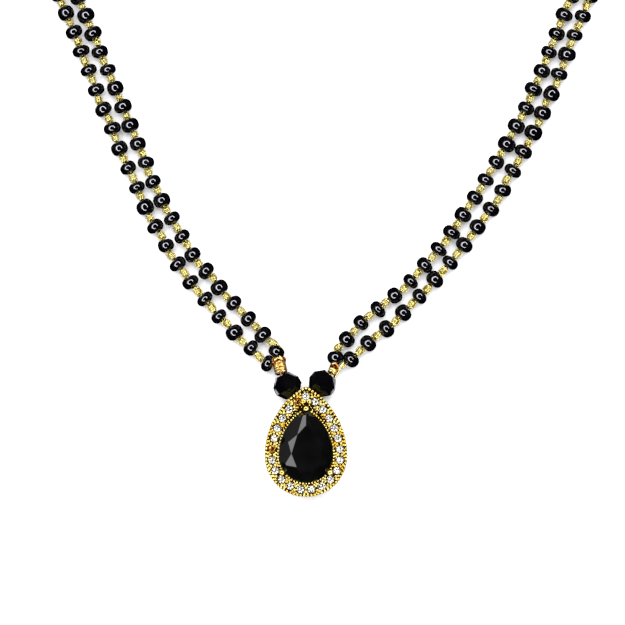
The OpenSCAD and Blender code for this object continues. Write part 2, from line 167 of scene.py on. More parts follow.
# Each side's rondelle and wire work, in millimetres and degrees: the rondelle's middle, the
# directions of its hole and of the wrapped wire above it, the length of that wire's core, and
# wraps: place along the core, radius, share of the wire's radius, turns, pitch in wire radii, lean
# loops: place along, across and up, turn about the core, radius
# stub: places along and across of a cut wire end
SIDES = {
    "left": {
        "middle": (-2.82, 8.42), "hole": 117, "coil": 103, "core": 2.3,
        "wraps": (
            (0.1, 0.84, 1, 3, 2.5, 13), (1.15, 0.8, 0.85, 1, 0.6, -28),
            (1.35, 0.72, 0.85, 1, 0.6, 30), (1.6, 0.86, 0.85, 1, 0.6, -12),
            (1.8, 0.78, 0.85, 1, 0.6, 38), (2.0, 0.82, 0.85, 1, 0.6, -34),
            (2.2, 0.7, 0.85, 1, 0.6, 16)),
        "loops": (
            (2.3, -0.55, 0.3, 20, 0.4), (2.5, 0.1, 0.45, -30, 0.42), (2.1, 0.75, 0.2, 35, 0.38),
            (1.9, -0.85, 0.1, -20, 0.36)),
        "stub": (),
    },
    "right": {
        "middle": (2.45, 8.75), "hole": 48, "coil": 66, "core": 1.7,
        "wraps": (
            (0.1, 0.5, 1, 1.5, 2.05, 14), (0.816, 0.52, 0.8, 1, 0, -46),
            (1.176, 0.52, 0.8, 1, 0, 44), (0.92, 0.52, 0.8, 1, 0, -20)),
        "loops": ((1.75, -0.2, 0, 20, 0.42), (1.95, 0.25, 0, 60, 0.42)),
        "stub": ((1.5, -0.5), (1.85, -0.95)),
    },
}
# Places along and across of the straight pale wire beside the right wraps
STRAIGHT_WIRE = ((-0.2, 0.72), (1.2, 0.86), (2.5, 1.06))
# Wire of the loops, of the cut end and of the straight wire, as shares of the wrapped wire's radius
LOOP_SHARE, STUB_SHARE, STRAIGHT_SHARE = 0.8, 0.7, 1.3
# Height below which the wrapped wire is painted darker, as shade between its turns
WRAP_SHADE_Z = 2.05

# Cards on the surface that the outer facets of the rondelles mirror: the directions from a
# rondelle's middle where a card starts and ends, in degrees, and its reach from there in millimetres
RIM_CARDS = {
    "left": ((153, 171, 3.4, 4.4), (203, 224, 4.7, 6.1), (52, 74, 3.4, 4.7), (73, 84, 6.8, 8.6)),
    "right": ((-18, 6, 3.5, 4.5), (3, 15, 6.8, 8.6), (-45, -27, 4.7, 5.9), (137, 151, 4.7, 5.5)),
}
# The strip light's outside from straight up, its start and its sweep, in degrees
STRIP = (50, 125, 86)
# The side card's inside, outside, start and sweep, in degrees, and its height as a share of the ring's
SIDE_CARD = (58, 70, 120, 110)
SIDE_CARD_HEIGHT = 0.5
# Radius and height of the tent's base, foot, brims and top, in metres
TENT_RINGS = {
    "base": (1.5, -0.01), "foot": (1.5, 0), "band": (1.5, 0.94), "brim": (1.5, 1.4), "top": (0.55, 1.3)}
# Size of the large soft light and its place from the view's middle, in metres
KEY_SIZE = (1.4, 1.0)
KEY_PLACE = (-0.1, 0.55, 0.9)
# Half the surface's width in metres, and how far it lies below the necklace in millimetres
FLOOR_REACH = 3.0
FLOOR_DROP = 0.02
# The surroundings' grey when mirrored, at heights from level, 0, to straight up, 1
MIRRORED_AIR = ((0.0, 0.01), (0.3, 0.02), (0.6, 0.02), (0.9, 0.015))
# The spots that the clear stones see: how many from level to straight up, where their soft edge
# starts and ends in the noise, and the grey between them
SPOT_COUNT, SPOT_EDGE, SPOT_DARK = 2.6, (0.53, 0.55), 0.01

# The range that noise mostly keeps to, and where the painted recess shade has faded, in its half
# heights
NOISE_RANGE = (0.3, 0.7)
RECESS_SHADE_FADE = 1.3


def linear(hex_colour):
    """Linear RGBA of an sRGB hex colour."""
    channels = [int(hex_colour[i:i + 2], 16) / 255 for i in (1, 3, 5)]
    toned = [c / 12.92 if c <= 0.04045 else ((c + 0.055) / 1.055) ** 2.4 for c in channels]
    return (*toned, 1.0)


def length_prop(name, description, millimetres):
    """Property for a length, whose default is given in millimetres."""
    return bpy.props.FloatProperty(
        name=name, description=description, default=millimetres * MM, min=0, precision=5,
        unit="LENGTH", subtype="DISTANCE")


def angle_prop(name, description, degrees):
    """Property for an angle, whose default is given in degrees."""
    return bpy.props.FloatProperty(
        name=name, description=description, default=math.radians(degrees), unit="ROTATION",
        subtype="ANGLE")


def strength_prop(name, description, strength):
    """Property for the brightness of a light that shows only mirrored."""
    return bpy.props.FloatProperty(name=name, description=description, default=strength, min=0)


def colour_prop(name, description, hex_colour):
    """Property for a colour, whose default is given as sRGB hex."""
    return bpy.props.FloatVectorProperty(
        name=name, description=description, default=linear(hex_colour), size=4, min=0, max=1,
        subtype="COLOR")


class BeadSizes(bpy.types.PropertyGroup):
    """Sizes of the seed beads and of the wire links that they are threaded on."""
    bead_d: length_prop("Bead diameter", "Diameter of a seed bead", 2.66)
    bead_l: length_prop("Bead length", "Length of a seed bead along its hole", 1.78)
    bead_square: bpy.props.FloatProperty(
        name="Bead squareness", description="Exponent of a bead's outline, 2 for an ellipse",
        default=2.3, min=1.5, max=6)
    wire_d: length_prop("Link wire", "Diameter of the wire of the links", 0.27)
    eye_w: length_prop("Eye width", "Width of an eye of the links, over its wire", 1.3)
    eye_share: bpy.props.FloatProperty(
        name="Eye share", description="Length of an eye as a share of the gap between beads",
        default=0.85, min=0.6, max=0.95, subtype="FACTOR")
    wander: length_prop("Wander", "How far a bead strays from the strand's line", 0.1)
    seed: bpy.props.IntProperty(
        name="Seed", description="Seed of the small differences between beads", default=7)


class PendantSizes(bpy.types.PropertyGroup):
    """Sizes of the pendant's fine work."""
    edge_grain: length_prop("Edge grain", "Radius of the grains along the outer rim", 0.24)
    edge_pitch: length_prop("Edge pitch", "Spacing of the grains along the outer rim", 0.54)
    plate_grain: length_prop("Plate grain", "Radius of the grains on the plate", 0.155)
    plate_pitch: length_prop("Plate pitch", "Spacing of the grains on the plate", 0.46)
    inner_grain: length_prop("Inner grain", "Radius of the grains round the black stone", 0.19)
    inner_pitch: length_prop("Inner pitch", "Spacing of the grains round the black stone", 0.46)
    claw: length_prop("Claw", "Radius of the claws that hold the small stones", 0.23)


class WireSizes(bpy.types.PropertyGroup):
    """Sizes of the wire work between the pendant and the strands."""
    pin_d: length_prop("Pin wire", "Diameter of the wire through a rondelle", 0.4)
    wrap_d: length_prop("Wrap wire", "Diameter of the wrapped wire", 0.34)
    bevel: length_prop("Rondelle edge", "Width of the worn edges between a rondelle's facets", 0.02)


class Colours(bpy.types.PropertyGroup):
    """Colours of the necklace."""
    gold: colour_prop("Gold", "Gold plate of the pendant", "#f3e596")
    gold_deep: colour_prop("Deep gold", "Redder patches in the gold plate", "#e0bc3c")
    # Painted shade: the plate turns to this colour down between the raised grains
    recess_shade: colour_prop("Recess", "Darker plate between the raised grains", "#452c04")
    # Painted reflection: the gold setting seen in two of the small stones
    backed: colour_prop("Gold-backed stone", "Stones that show the gold behind them", "#ffd07c")
    wire: colour_prop("Link gold", "Pale gold of the links", "#eee295")
    copper_wire: colour_prop("Wrap gold", "Reddish gold of the wrapped wire", "#e07c22")
    # Painted shade: the wrapped wire turns to this colour low down between its turns
    wrap_shade: colour_prop("Wrap depth", "Darker gold down between the wrapped turns", "#8e4a10")
    bead: colour_prop("Bead black", "Black of the seed beads", "#020203")
    rondelle: colour_prop("Rondelle black", "Black of the faceted rondelles", "#020203")
    stone: colour_prop("Stone black", "Black of the pear stone", "#040404")
    clear: colour_prop("Clear stone", "Tint of the small stones", "#fdfbf4")
    floor: colour_prop("Surface", "White of the surface below", "#f8f8fa")


class StageSizes(bpy.types.PropertyGroup):
    """Camera, lights and surface."""
    view_x: bpy.props.FloatProperty(
        name="View X", description="Middle of the view across", default=0.98 * MM, unit="LENGTH")
    view_y: bpy.props.FloatProperty(
        name="View Y", description="Middle of the view lengthwise", default=19.5 * MM, unit="LENGTH")
    view_w: length_prop("View width", "Width of the view at the strands", 94.7)
    lens: bpy.props.FloatProperty(
        name="Lens", description="Focal length of the camera", default=200, unit="CAMERA")
    ring_height: length_prop("Ring height", "Height of the ring light", 1000)
    ring_inner: angle_prop("Ring inside", "Angle of the ring's inside from straight up", 31)
    ring_outer: angle_prop("Ring outside", "Angle of the ring's outside from straight up", 38.8)
    ring_gap_at: angle_prop("Ring gap", "Direction of the ring's gap", -30)
    ring_gap: angle_prop("Gap width", "Width of the ring's gap", 75)
    ring_strength: strength_prop("Ring", "Brightness of the ring in the glass", 24)
    strip_strength: strength_prop("Strip", "Brightness of the strip beside the ring", 5.5)
    side_strength: strength_prop("Side card", "Brightness of the card in the pear stone's side", 0.3)
    rim_strength: strength_prop("Rim cards", "Brightness of the cards in the rondelles' rims", 4.0)
    tent_base: strength_prop("Tent base", "Brightness of the tent's base in the gold", 0.3)
    tent_side: strength_prop("Tent sides", "Brightness of the tent's sides in the gold", 0.85)
    tent_band: strength_prop("Tent band", "Brightness of the tent's upper band in the gold", 7.2)
    tent_top: strength_prop("Tent top", "Brightness of the tent's top in the gold", 0.2)
    air_strength: strength_prop("Air", "Brightness of the white air round the surface", 1.22)
    spot_strength: strength_prop("Spots", "Brightness of the spots in the clear stones", 3.4)
    key_power: bpy.props.FloatProperty(
        name="Key power", description="Power of the large soft light", default=24, unit="POWER")


GROUPS = {
    "necklace_beads": BeadSizes,
    "necklace_pendant": PendantSizes,
    "necklace_wire": WireSizes,
    "necklace_colours": Colours,
    "necklace_stage": StageSizes,
}


def shade(name):
    """One of the necklace's colours."""
    return tuple(getattr(bpy.context.scene.necklace_colours, name))


def grey(value):
    """Linear RGBA of a grey."""
    return (value, value, value, 1.0)


def dimmed(colour, *shares):
    """A colour with each channel taken by its share."""
    return (*(c * share for c, share in zip(colour, shares)), 1.0)


def add_node(tree, kind, settings=None, inputs=None, stops=()):
    """Adds a node with its settings. An input is a value, or a pair of a node and its output, and
    the stops of a ramp are places and colours."""
    node = tree.nodes.new(kind)
    for name, value in (settings or {}).items():
        setattr(node, name, value)
    for name, value in (inputs or {}).items():
        if isinstance(value, tuple) and isinstance(value[0], bpy.types.Node):
            tree.links.new(value[0].outputs[value[1]], node.inputs[name])
        else:
            node.inputs[name].default_value = value
    for k, (place, colour) in enumerate(stops):
        elements = node.color_ramp.elements
        element = elements[k] if k < len(elements) else elements.new(place)
        element.position = place
        element.color = colour
    return node


def new_material(name):
    """A material with an empty tree, and that tree."""
    material = bpy.data.materials.new(name)
    material.use_nodes = True
    material.node_tree.nodes.clear()
    return material, material.node_tree


def finish_material(tree, sockets):
    """Ends a tree in a shader with these sockets."""
    shader = add_node(tree, "ShaderNodeBsdfPrincipled", inputs=sockets)
    add_node(tree, "ShaderNodeOutputMaterial", inputs={"Surface": (shader, "BSDF")})


def noise_at(tree, millimetres, detail=3.0):
    """Noise whose blotches are about this many millimetres wide."""
    place = add_node(tree, "ShaderNodeTexCoord")
    return add_node(tree, "ShaderNodeTexNoise", inputs={
        "Vector": (place, "Object"), "Scale": 1 / (millimetres * MM), "Detail": detail})


def clouded(tree, millimetres, stops, detail=3.0):
    """Colour that drifts from one to another in blotches."""
    clouds = noise_at(tree, millimetres, detail)
    tint = add_node(tree, "ShaderNodeValToRGB", inputs={"Fac": (clouds, "Fac")}, stops=stops)
    return tint, "Color"


def worn(tree, millimetres, low, high):
    """Roughness that wear varies in blotches, between two values."""
    wear = noise_at(tree, millimetres)
    least, most = NOISE_RANGE
    rough = add_node(tree, "ShaderNodeMapRange", inputs={
        "Value": (wear, "Fac"), "From Min": least, "From Max": most, "To Min": low, "To Max": high})
    return rough, "Result"


def uneven(tree, millimetres, height, detail=3.0, strength=1.0):
    """Low bumps of this width and height in millimetres."""
    bumps = noise_at(tree, millimetres, detail)
    bump = add_node(tree, "ShaderNodeBump", inputs={
        "Height": (bumps, "Fac"), "Distance": height * MM, "Strength": strength})
    return bump, "Normal"


def paint_shade_between(tree, colour_from, recess_shade, low, high):
    """Paints shade: turns a colour into the shade colour between two heights, in millimetres."""
    place = add_node(tree, "ShaderNodeTexCoord")
    parts = add_node(tree, "ShaderNodeSeparateXYZ", inputs={"Vector": (place, "Object")})
    middle = (low + high) / 2 * MM
    half = (high - low) / 2 * MM
    away = add_node(tree, "ShaderNodeMath", {"operation": "SUBTRACT"}, {0: (parts, "Z"), 1: middle})
    height = add_node(tree, "ShaderNodeMath", {"operation": "ABSOLUTE"}, {0: (away, "Value")})
    fade = add_node(tree, "ShaderNodeMapRange", inputs={
        "Value": (height, "Value"), "From Min": half, "From Max": half * RECESS_SHADE_FADE,
        "To Min": 0.0, "To Max": 1.0})
    mix = add_node(tree, "ShaderNodeMixRGB", inputs={
        "Fac": (fade, "Result"), "Color1": shade(recess_shade), "Color2": colour_from})
    return mix, "Color"


def gold_plate(name, colours, roughness, grain, grain_height, patch, recess_shade=None):
    """Gold plate over cast or drawn brass: a warm metal shine in two tones. The grain and patches
    are in millimetres. The real grain is finer, and is drawn as coarse as it needs to show. A recess
    shade is a colour painted as shade, and the heights between which it shows."""
    material, tree = new_material(name)
    light, deep = colours
    colour_from = clouded(tree, patch, [(0.42, shade(light)), (0.68, shade(deep))], 2.0)
    if recess_shade:
        colour_from = paint_shade_between(tree, colour_from, *recess_shade)
    finish_material(tree, {
        "Base Color": colour_from,
        "Metallic": 1.0,
        "Roughness": worn(tree, grain * 3, roughness * 0.7, roughness * 1.4),
        "Normal": uneven(tree, grain, grain_height)})
    return material


def black_glass(name, colour, ior, roughness, dimple, dimple_height):
    """Opaque black glass: a deep black with sharp bright reflections. Dimples in millimetres."""
    material, tree = new_material(name)
    black = shade(colour)
    lighter = (*(min(1.0, c * 1.6 + 0.0008) for c in black[:3]), 1.0)
    finish_material(tree, {
        "Base Color": clouded(tree, dimple * 2, [(0.35, black), (0.7, lighter)]),
        "IOR": ior,
        "Roughness": worn(tree, dimple * 0.7, roughness * 0.6, roughness * 1.5),
        "Normal": uneven(tree, dimple, dimple_height, 1.0)})
    return material


def clear_zirconia(name, colour, painted_gold_shine=0.0):
    """Cut cubic zirconia: clear, with a strong sparkle. Its tint drifts a little in patches a third
    of a stone wide. A share of metal shine, with a gold tint, paints a reflection of the gold setting."""
    material, tree = new_material(name)
    clear = shade(colour)
    finish_material(tree, {
        "Base Color": clouded(tree, 0.4, [(0.3, clear), (0.7, dimmed(clear, 0.97, 0.98, 1))]),
        "IOR": 2.15,
        "Roughness": 0.0,
        "Transmission Weight": 1.0,
        "Metallic": painted_gold_shine})
    return material


def white_card(name, colour):
    """Matt white card with faint fibres, which gives the surface its soft shadows."""
    material, tree = new_material(name)
    white = shade(colour)
    # Real fibres are finer. These are as coarse as they need to be to show
    fibre_w = 0.8
    finish_material(tree, {
        "Base Color": clouded(
            tree, fibre_w, [(0.3, dimmed(white, 0.985, 0.985, 0.985)), (0.7, white)], 4.0),
        "Roughness": 0.9,
        "Specular IOR Level": 0.1,
        "Normal": uneven(tree, fibre_w, 0.01, 4.0, 0.4)})
    return material


def mm(*values):
    """Point or direction given in millimetres."""
    return Vector(values) * MM


def circle(centre, u, v, radius, count, start=0.0):
    """Points round a circle in the plane of two directions, from an angle on."""
    turns = [math.tau * k / count + start for k in range(count)]
    return [centre + u * (radius * math.cos(a)) + v * (radius * math.sin(a)) for a in turns]


class Shape:
    """The points and faces of one piece, in metres, gathered part by part."""

    def __init__(self):
        self.points = []
        self.faces = []

    def add(self, points, faces):
        """Adds points, and faces that are counted from the first of them."""
        base = len(self.points)
        self.points.extend(points)
        self.faces.extend(tuple(base + i for i in face) for face in faces)

    def add_rows(self, rows, looped=False, flipped=False, capped=False):
        """Adds closed rows of points, each joined to the next. A row of one point is a tip."""
        n = len(rows)
        firsts = [sum(len(row) for row in rows[:i]) for i in range(n)]
        sides = max(len(row) for row in rows)
        faces = []
        for i in range(n if looped else n - 1):
            j = (i + 1) % n
            for k in range(sides):
                a, b = (firsts[i] + (k + step) % len(rows[i]) for step in (0, 1))
                c, d = (firsts[j] + (k + step) % len(rows[j]) for step in (0, 1))
                corners = (a, b, d, c) if flipped else (a, c, d, b)
                faces.append(tuple(dict.fromkeys(corners)))
        if capped:
            faces += [tuple(reversed(range(sides))), tuple(range(firsts[-1], firsts[-1] + sides))]
        self.add([point for row in rows for point in row], faces)

    def add_arc(self, centre, near, far, start, sweep, steps):
        """Adds a flat arc between two radii."""
        points = []
        for k in range(steps + 1):
            a = start + sweep * k / steps
            out = EAST * math.cos(a) + NORTH * math.sin(a)
            points += [centre + out * near, centre + out * far]
        self.add(points, [(2 * k, 2 * k + 1, 2 * k + 3, 2 * k + 2) for k in range(steps)])

    def object(self, name, material, smooth=True):
        """Puts the shape into the scene as a piece of its own."""
        mesh = bpy.data.meshes.new(name)
        mesh.from_pydata([tuple(p) for p in self.points], [], self.faces)
        mesh.validate()
        for polygon in mesh.polygons:
            polygon.use_smooth = smooth
        return link_piece(name, mesh, material)


def link_piece(name, mesh, material):
    """Puts a mesh with its finish into the scene."""
    piece = bpy.data.objects.new(name, mesh)
    mesh.materials.append(material)
    bpy.context.scene.collection.objects.link(piece)
    return piece


def pieces_lit_alone(name):
    """A collection of pieces that alone mirror a certain light."""
    return bpy.data.collections.get(name) or bpy.data.collections.new(name)


def seat(piece, slot, *nodes, lit=None):
    """Puts a piece on the frame's one body, with the lights for its finish unless given, and hides the
    nodes it stands for.
    """
    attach(piece, "root")
    lit = lit or ("gold_pieces" if slot.startswith("gold") else "glass_pieces")
    pieces_lit_alone(lit).objects.link(piece)
    if nodes:
        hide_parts(*nodes)
    return piece


def dress_node(name, material, *lights):
    """Gives a node of the frame its finish, and the lights that it mirrors."""
    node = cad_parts[name]
    node.data.materials.clear()
    node.data.materials.append(material)
    for lit in lights:
        pieces_lit_alone(lit).objects.link(node)


def add_wire(shape, line, radius, sides=7, closed=False):
    """Adds round wire along a line of points, with rounded ends unless it is closed."""
    last = len(line) - 1
    rings = []
    for i, centre in enumerate(line):
        before = line[i - 1] if closed or i > 0 else centre
        after = line[(i + 1) % len(line)] if closed or i < last else centre
        tangent = (after - before).normalized()
        if i == 0:
            side = tangent.orthogonal().normalized()
        side = (side - tangent * side.dot(tangent)).normalized()
        rings.append((centre, tangent, side, radius))
    if not closed:
        reach, narrow = (radius * share for share in WIRE_END)
        for end, place, sign in ((rings[0], 0, -1), (rings[-1], len(line) + 1, 1)):
            centre, tangent, side, _ = end
            rings.insert(place, (centre + tangent * (sign * reach), tangent, side, narrow))
    rows = [circle(centre, side, tangent.cross(side), r, sides) for centre, tangent, side, r in rings]
    shape.add_rows(rows, looped=closed, flipped=True, capped=not closed)


def add_ring(shape, centre, normal, radius, wire_r, sides=7, steps=18):
    """Adds a closed ring of wire."""
    u = normal.orthogonal().normalized()
    v = normal.cross(u).normalized()
    add_wire(shape, circle(centre, u, v, radius, steps), wire_r, sides, closed=True)


def add_ball(shape, centre, radius, rings=5, sides=9):
    """Adds a small round grain."""
    rows = [[centre + UP * radius]]
    for i in range(1, rings):
        b = math.pi * i / rings
        middle = centre + UP * (radius * math.cos(b))
        rows.append(circle(middle, EAST, NORTH, radius * math.sin(b), sides))
    rows.append([centre - UP * radius])
    shape.add_rows(rows)


def strand_signs(name):
    """Which side of the neck a strand lies on, and whether it is the outer of its pair, as signs."""
    return (-1 if name.startswith("left") else 1), (1 if name.endswith("outer") else -1)


def strand_route(name):
    """The whole route of a strand in millimetres, from the pendant to the clasp."""
    side, out = strand_signs(name)
    front = [Vector(p) for p in FRONT_ROUTES[name]]
    last = front[-1]
    half_w = side * (ARCH_HALF_W + out * ARCH_SPREAD)
    depth = CLASP_Y - WIDE_Y + out * END_SPREAD
    arm = [
        Vector((last.x + (MID_X + half_w - last.x) * x, last.y + (WIDE_Y - last.y) * y))
        for x, y in ARM_SHARES]
    quarters = [math.pi / 2 * k / ARCH_STEPS for k in range(ARCH_STEPS)]
    arch = [Vector((MID_X + half_w * math.cos(a), WIDE_Y + depth * math.sin(a))) for a in quarters]
    end = Vector((MID_X + side * STRAND_END_X, CLASP_Y + out * END_SPREAD))
    return [*front, *arm, *arch, end]


def curve_at(a, b, c, d, u):
    """Smooth curve through four points in turn, at a share u from the second to the third."""
    return (2 * b + (c - a) * u + (2 * a - 5 * b + 4 * c - d) * u ** 2
            + (3 * b - a - 3 * c + d) * u ** 3) / 2


class Path:
    """A smooth line through a route, measured along its length."""

    def __init__(self, route):
        last = len(route) - 1
        self.points = []
        for i in range(last):
            four = [route[min(last, max(0, i + k))] for k in (-1, 0, 1, 2)]
            self.points += [curve_at(*four, k / CURVE_STEPS) for k in range(CURVE_STEPS)]
        self.points.append(route[-1])
        self.reach = [0.0]
        for a, b in zip(self.points, self.points[1:]):
            self.reach.append(self.reach[-1] + (b - a).length)

    def at(self, distance):
        """Point and direction at a distance, also a little beyond either end."""
        i = 0
        while i < len(self.points) - 2 and self.reach[i + 1] < distance:
            i += 1
        a, b = self.points[i], self.points[i + 1]
        direction = (b - a).normalized()
        return a + direction * (distance - self.reach[i]), direction


def bead_distances(name, length):
    """Distances of a strand's beads along it. The last is next to the clasp."""
    first, step, less = STRAND_SPACING[name]
    distances = [first]
    while distances[-1] + step < length - END_ROOM:
        share = min(1, len(distances) / VISIBLE_BEADS)
        distances.append(distances[-1] + step - less * share)
    spare = (length - END_ROOM - distances[-1]) / (len(distances) - VISIBLE_BEADS)
    return [d + spare * max(0, k + 1 - VISIBLE_BEADS) for k, d in enumerate(distances)]


def threaded_beads(name, sizes, draw):
    """The beads of one strand from the pendant to the clasp, each with its place and size."""
    path = Path(strand_route(name))
    beads = []
    for distance in bead_distances(name, path.reach[-1]):
        place, direction = path.at(distance)
        radius = sizes.bead_d / 2 * draw.uniform(*BEAD_DIAMETERS)
        half = sizes.bead_l / 2 * draw.triangular(*BEAD_LENGTHS)
        across = Vector((-direction.y, direction.x))
        place = place * MM + across * draw.uniform(-1, 1) * sizes.wander
        lean = math.radians(draw.gauss(0, BEAD_LEAN))
        axis = direction * math.cos(lean) + across * math.sin(lean)
        beads.append({
            "centre": Vector((*place, max(sizes.bead_d / 2, radius))),
            "axis": Vector((*axis, 0)),
            "radius": radius,
            "half": half,
            "skew": (draw.uniform(0, BEAD_SKEW), draw.uniform(0, math.tau)),
            "roll": draw.gauss(0, LINK_ROLL),
            "upright": draw.random() < 0.5,
        })
    return beads


def build_strands():
    """The beads of all four strands. They are drawn in a set order from one seed."""
    sizes = bpy.context.scene.necklace_beads
    draw = random.Random(sizes.seed)
    strands = {name: threaded_beads(name, sizes, draw) for name in FRONT_ROUTES}
    for side in ("left", "right"):
        part_beads(strands[f"{side}_outer"], strands[f"{side}_inner"])
    return strands


def bead_reach(bead, direction):
    """How far a bead reaches in a direction."""
    lean = bead["axis"].dot(direction)
    return math.hypot(lean * bead["half"], math.sqrt(max(0, 1 - lean ** 2)) * bead["radius"])


def part_beads(one, other):
    """Moves beads of neighbouring strands apart until they only touch."""
    for a in one:
        for b in other:
            between = b["centre"] - a["centre"]
            if between.length > 2 * (a["radius"] + b["radius"]):
                continue
            direction = between.normalized()
            overlap = bead_reach(a, direction) + bead_reach(b, -direction) - between.length
            if overlap > 0:
                a["centre"] -= direction * (overlap / 2)
                b["centre"] += direction * (overlap / 2)


def bead_face(bead, share):
    """Point on a bead's axis, at a share of the way from its middle to its end."""
    return bead["centre"] + bead["axis"] * (share * bead["half"])


def bead_profile(radius, half, square):
    """Half section of a seed bead, as pairs of distance along the hole and radius."""
    hole = radius * HOLE_SHARE
    power = 2 / square
    profile = []
    for k in range(-BEAD_STEPS, BEAD_STEPS + 1):
        a = math.pi / 2 * k / BEAD_STEPS
        along = math.copysign(abs(math.sin(a)) ** power, a)
        profile.append((half * along, hole + (radius - hole) * abs(math.cos(a)) ** power))
    inner, waist = half * HOLE_WAIST[0], hole * HOLE_WAIST[1]
    return [(-inner, waist), *profile, (inner, waist)]


def add_bead(shape, bead, square):
    """Adds a drilled bead. Its skew makes it longer on one side than on the other."""
    centre, axis = bead["centre"], bead["axis"]
    side = axis.orthogonal().normalized()
    up = axis.cross(side)
    amount, phase = bead["skew"]
    rows = []
    for x, r in bead_profile(bead["radius"], bead["half"], square):
        row = circle(centre, side, up, r, BEAD_SIDES)
        for k, point in enumerate(row):
            point += axis * (x * (1 + amount * math.cos(math.tau * k / BEAD_SIDES - phase)))
        rows.append(row)
    shape.add_rows(rows, looped=True)


def add_oval(shape, centre, along, normal, half_l, half_w, wire_r, steps=20):
    """Adds a closed ring of wire, nearly oblong, in the plane across a normal."""
    across = normal.cross(along).normalized()
    power = 2 / EYE_SQUARE
    line = []
    for k in range(steps):
        a = math.tau * (k + 0.5) / steps
        x = math.copysign(abs(math.cos(a)) ** power, math.cos(a))
        y = math.copysign(abs(math.sin(a)) ** power, math.sin(a))
        line.append(centre + along * (half_l * x) + across * (half_w * y))
    add_wire(shape, line, wire_r, closed=True)


def add_eye(shape, start, towards, half_l, half_w, wire_r, roll, turns=1):
    """Adds an eye of one or two turns of wire that leaves a bead's end, rolled about the strand."""
    centre = start + towards * (wire_r + half_l)
    level = (UP - towards * towards.z).normalized()
    normal = Matrix.Rotation(math.radians(roll), 3, towards) @ level
    for k in range(turns):
        beside = normal * (wire_r * (2 * k - turns + 1) * TURN_ROOM)
        add_oval(shape, centre + beside, towards, normal, half_l, half_w, wire_r)
    add_wire(shape, [start - towards * wire_r * EYE_TAIL, start + towards * wire_r], wire_r, sides=6)


def add_link_pair(shape, a, b, sizes):
    """Joins two beads by a flat eye and an upright one of two turns that hold each other."""
    start = bead_face(a, 1)
    end = bead_face(b, -1)
    towards = (end - start).normalized()
    if a["upright"]:
        start, end, towards = end, start, -towards
    reach = (end - start).length * sizes.eye_share / 2
    for place, way, share, roll, turns in (
            (start, towards, 1, 0, 1), (end, -towards, UPRIGHT_SHARE, 90, 2)):
        wire_r = sizes.wire_d / 2 * share
        add_eye(
            shape, place, way, reach - wire_r, sizes.eye_w / 2 - wire_r, wire_r, a["roll"] + roll,
            turns)


class NECKLACE_OT_beads(bpy.types.Operator):
    """Thread the black seed beads of the four strands"""
    bl_idname = "necklace.beads"
    bl_label = "Seed Beads"

    def execute(self, context):
        # Fire polish leaves a smooth, slightly wavy skin with one soft bright mark a bead
        polished = black_glass(
            "black_seed_bead_glass_fire_polished", "bead", ior=1.6, roughness=0.03, dimple=0.9,
            dimple_height=0.015)
        for name, beads in build_strands().items():
            shape = Shape()
            for bead in beads:
                add_bead(shape, bead, context.scene.necklace_beads.bead_square)
            seat(shape.object(f"beads_{name}", polished), "black_glass", f"strand_{name}")
        return {"FINISHED"}


class NECKLACE_OT_links(bpy.types.Operator):
    """Bend the gold wire links that join the beads, and the eyes at the strands' ends"""
    bl_idname = "necklace.links"
    bl_label = "Wire Links"

    def execute(self, context):
        sizes = context.scene.necklace_beads
        wire_r = sizes.wire_d / 2
        # Drawing leaves a fine satin along the pale wire, so that its highlights are soft
        drawn = gold_plate(
            "gold_plated_wire_drawn", ("wire", "gold"), roughness=0.2, grain=0.25,
            grain_height=0.006, patch=2.5)
        for name, beads in build_strands().items():
            shape = Shape()
            for a, b in zip(beads, beads[1:]):
                add_link_pair(shape, a, b, sizes)
            for bead in beads:
                add_wire(shape, [bead_face(bead, -0.9), bead_face(bead, 0.9)], wire_r, sides=6)
            self.add_ends(shape, name, beads, wire_r)
            seat(shape.object(f"links_{name}", drawn), "gold_wire")
        return {"FINISHED"}

    def add_ends(self, shape, name, beads, wire_r):
        """The first and last eyes of a strand, which hold the wrapped wire and the clasp's ring."""
        first, last = beads[0], beads[-1]
        eye_r = FIRST_EYE_R * MM
        add_eye(shape, bead_face(first, -1), -first["axis"], eye_r, eye_r, wire_r, roll=70)
        side, out = strand_signs(name)
        along = CLASP_RING_R * math.sqrt(0.5)
        middle = MID_X + side * (CLASP_REACH - CLASP_WIRE_R - CLASP_RING_R)
        held = mm(middle + side * along, CLASP_Y + out * along, CLASP_Z)
        start = bead_face(last, 1)
        room = (CLASP_WIRE_R + END_SLACK) * MM
        half_l = ((held - start).length + room) / 2
        add_eye(shape, start, (held - start).normalized(), half_l, room + wire_r, wire_r, roll=90)


def pear(r, t, length):
    """A pear: the radii of its round end and its tip, the distance between their centres, the radius
    of its sides, and the angle at which they meet the tip."""
    d = length - r - t
    side_r = (d * d + r * r - t * t) / (2 * (r - t))
    return r, t, d, side_r, math.atan2(d, side_r - r)


def pear_point(shape, azimuth):
    """Point of a pear, in millimetres, where its edge faces an azimuth in radians."""
    r, t, d, side_r, meet = shape
    b = math.asin(math.sin(azimuth))
    if b < 0:
        x, y = r * math.cos(b), r * math.sin(b)
    elif b < meet:
        x, y = r + side_r * (math.cos(b) - 1), side_r * math.sin(b)
    else:
        x, y = t * math.cos(b), d + t * math.sin(b)
    return Vector((-x if math.cos(azimuth) < 0 else x, y + PEAR_Y))


def pear_reach(shape, point):
    """Distance of a point outside a pear, in millimetres. It is negative inside."""
    r, t, d, side_r, meet = shape
    x, y = abs(point.x), point.y - PEAR_Y
    if y < 0:
        return math.hypot(x, y) - r
    if math.atan2(y, x + side_r - r) < meet:
        return math.hypot(x + side_r - r, y) - side_r
    return math.hypot(x, y - d) - t


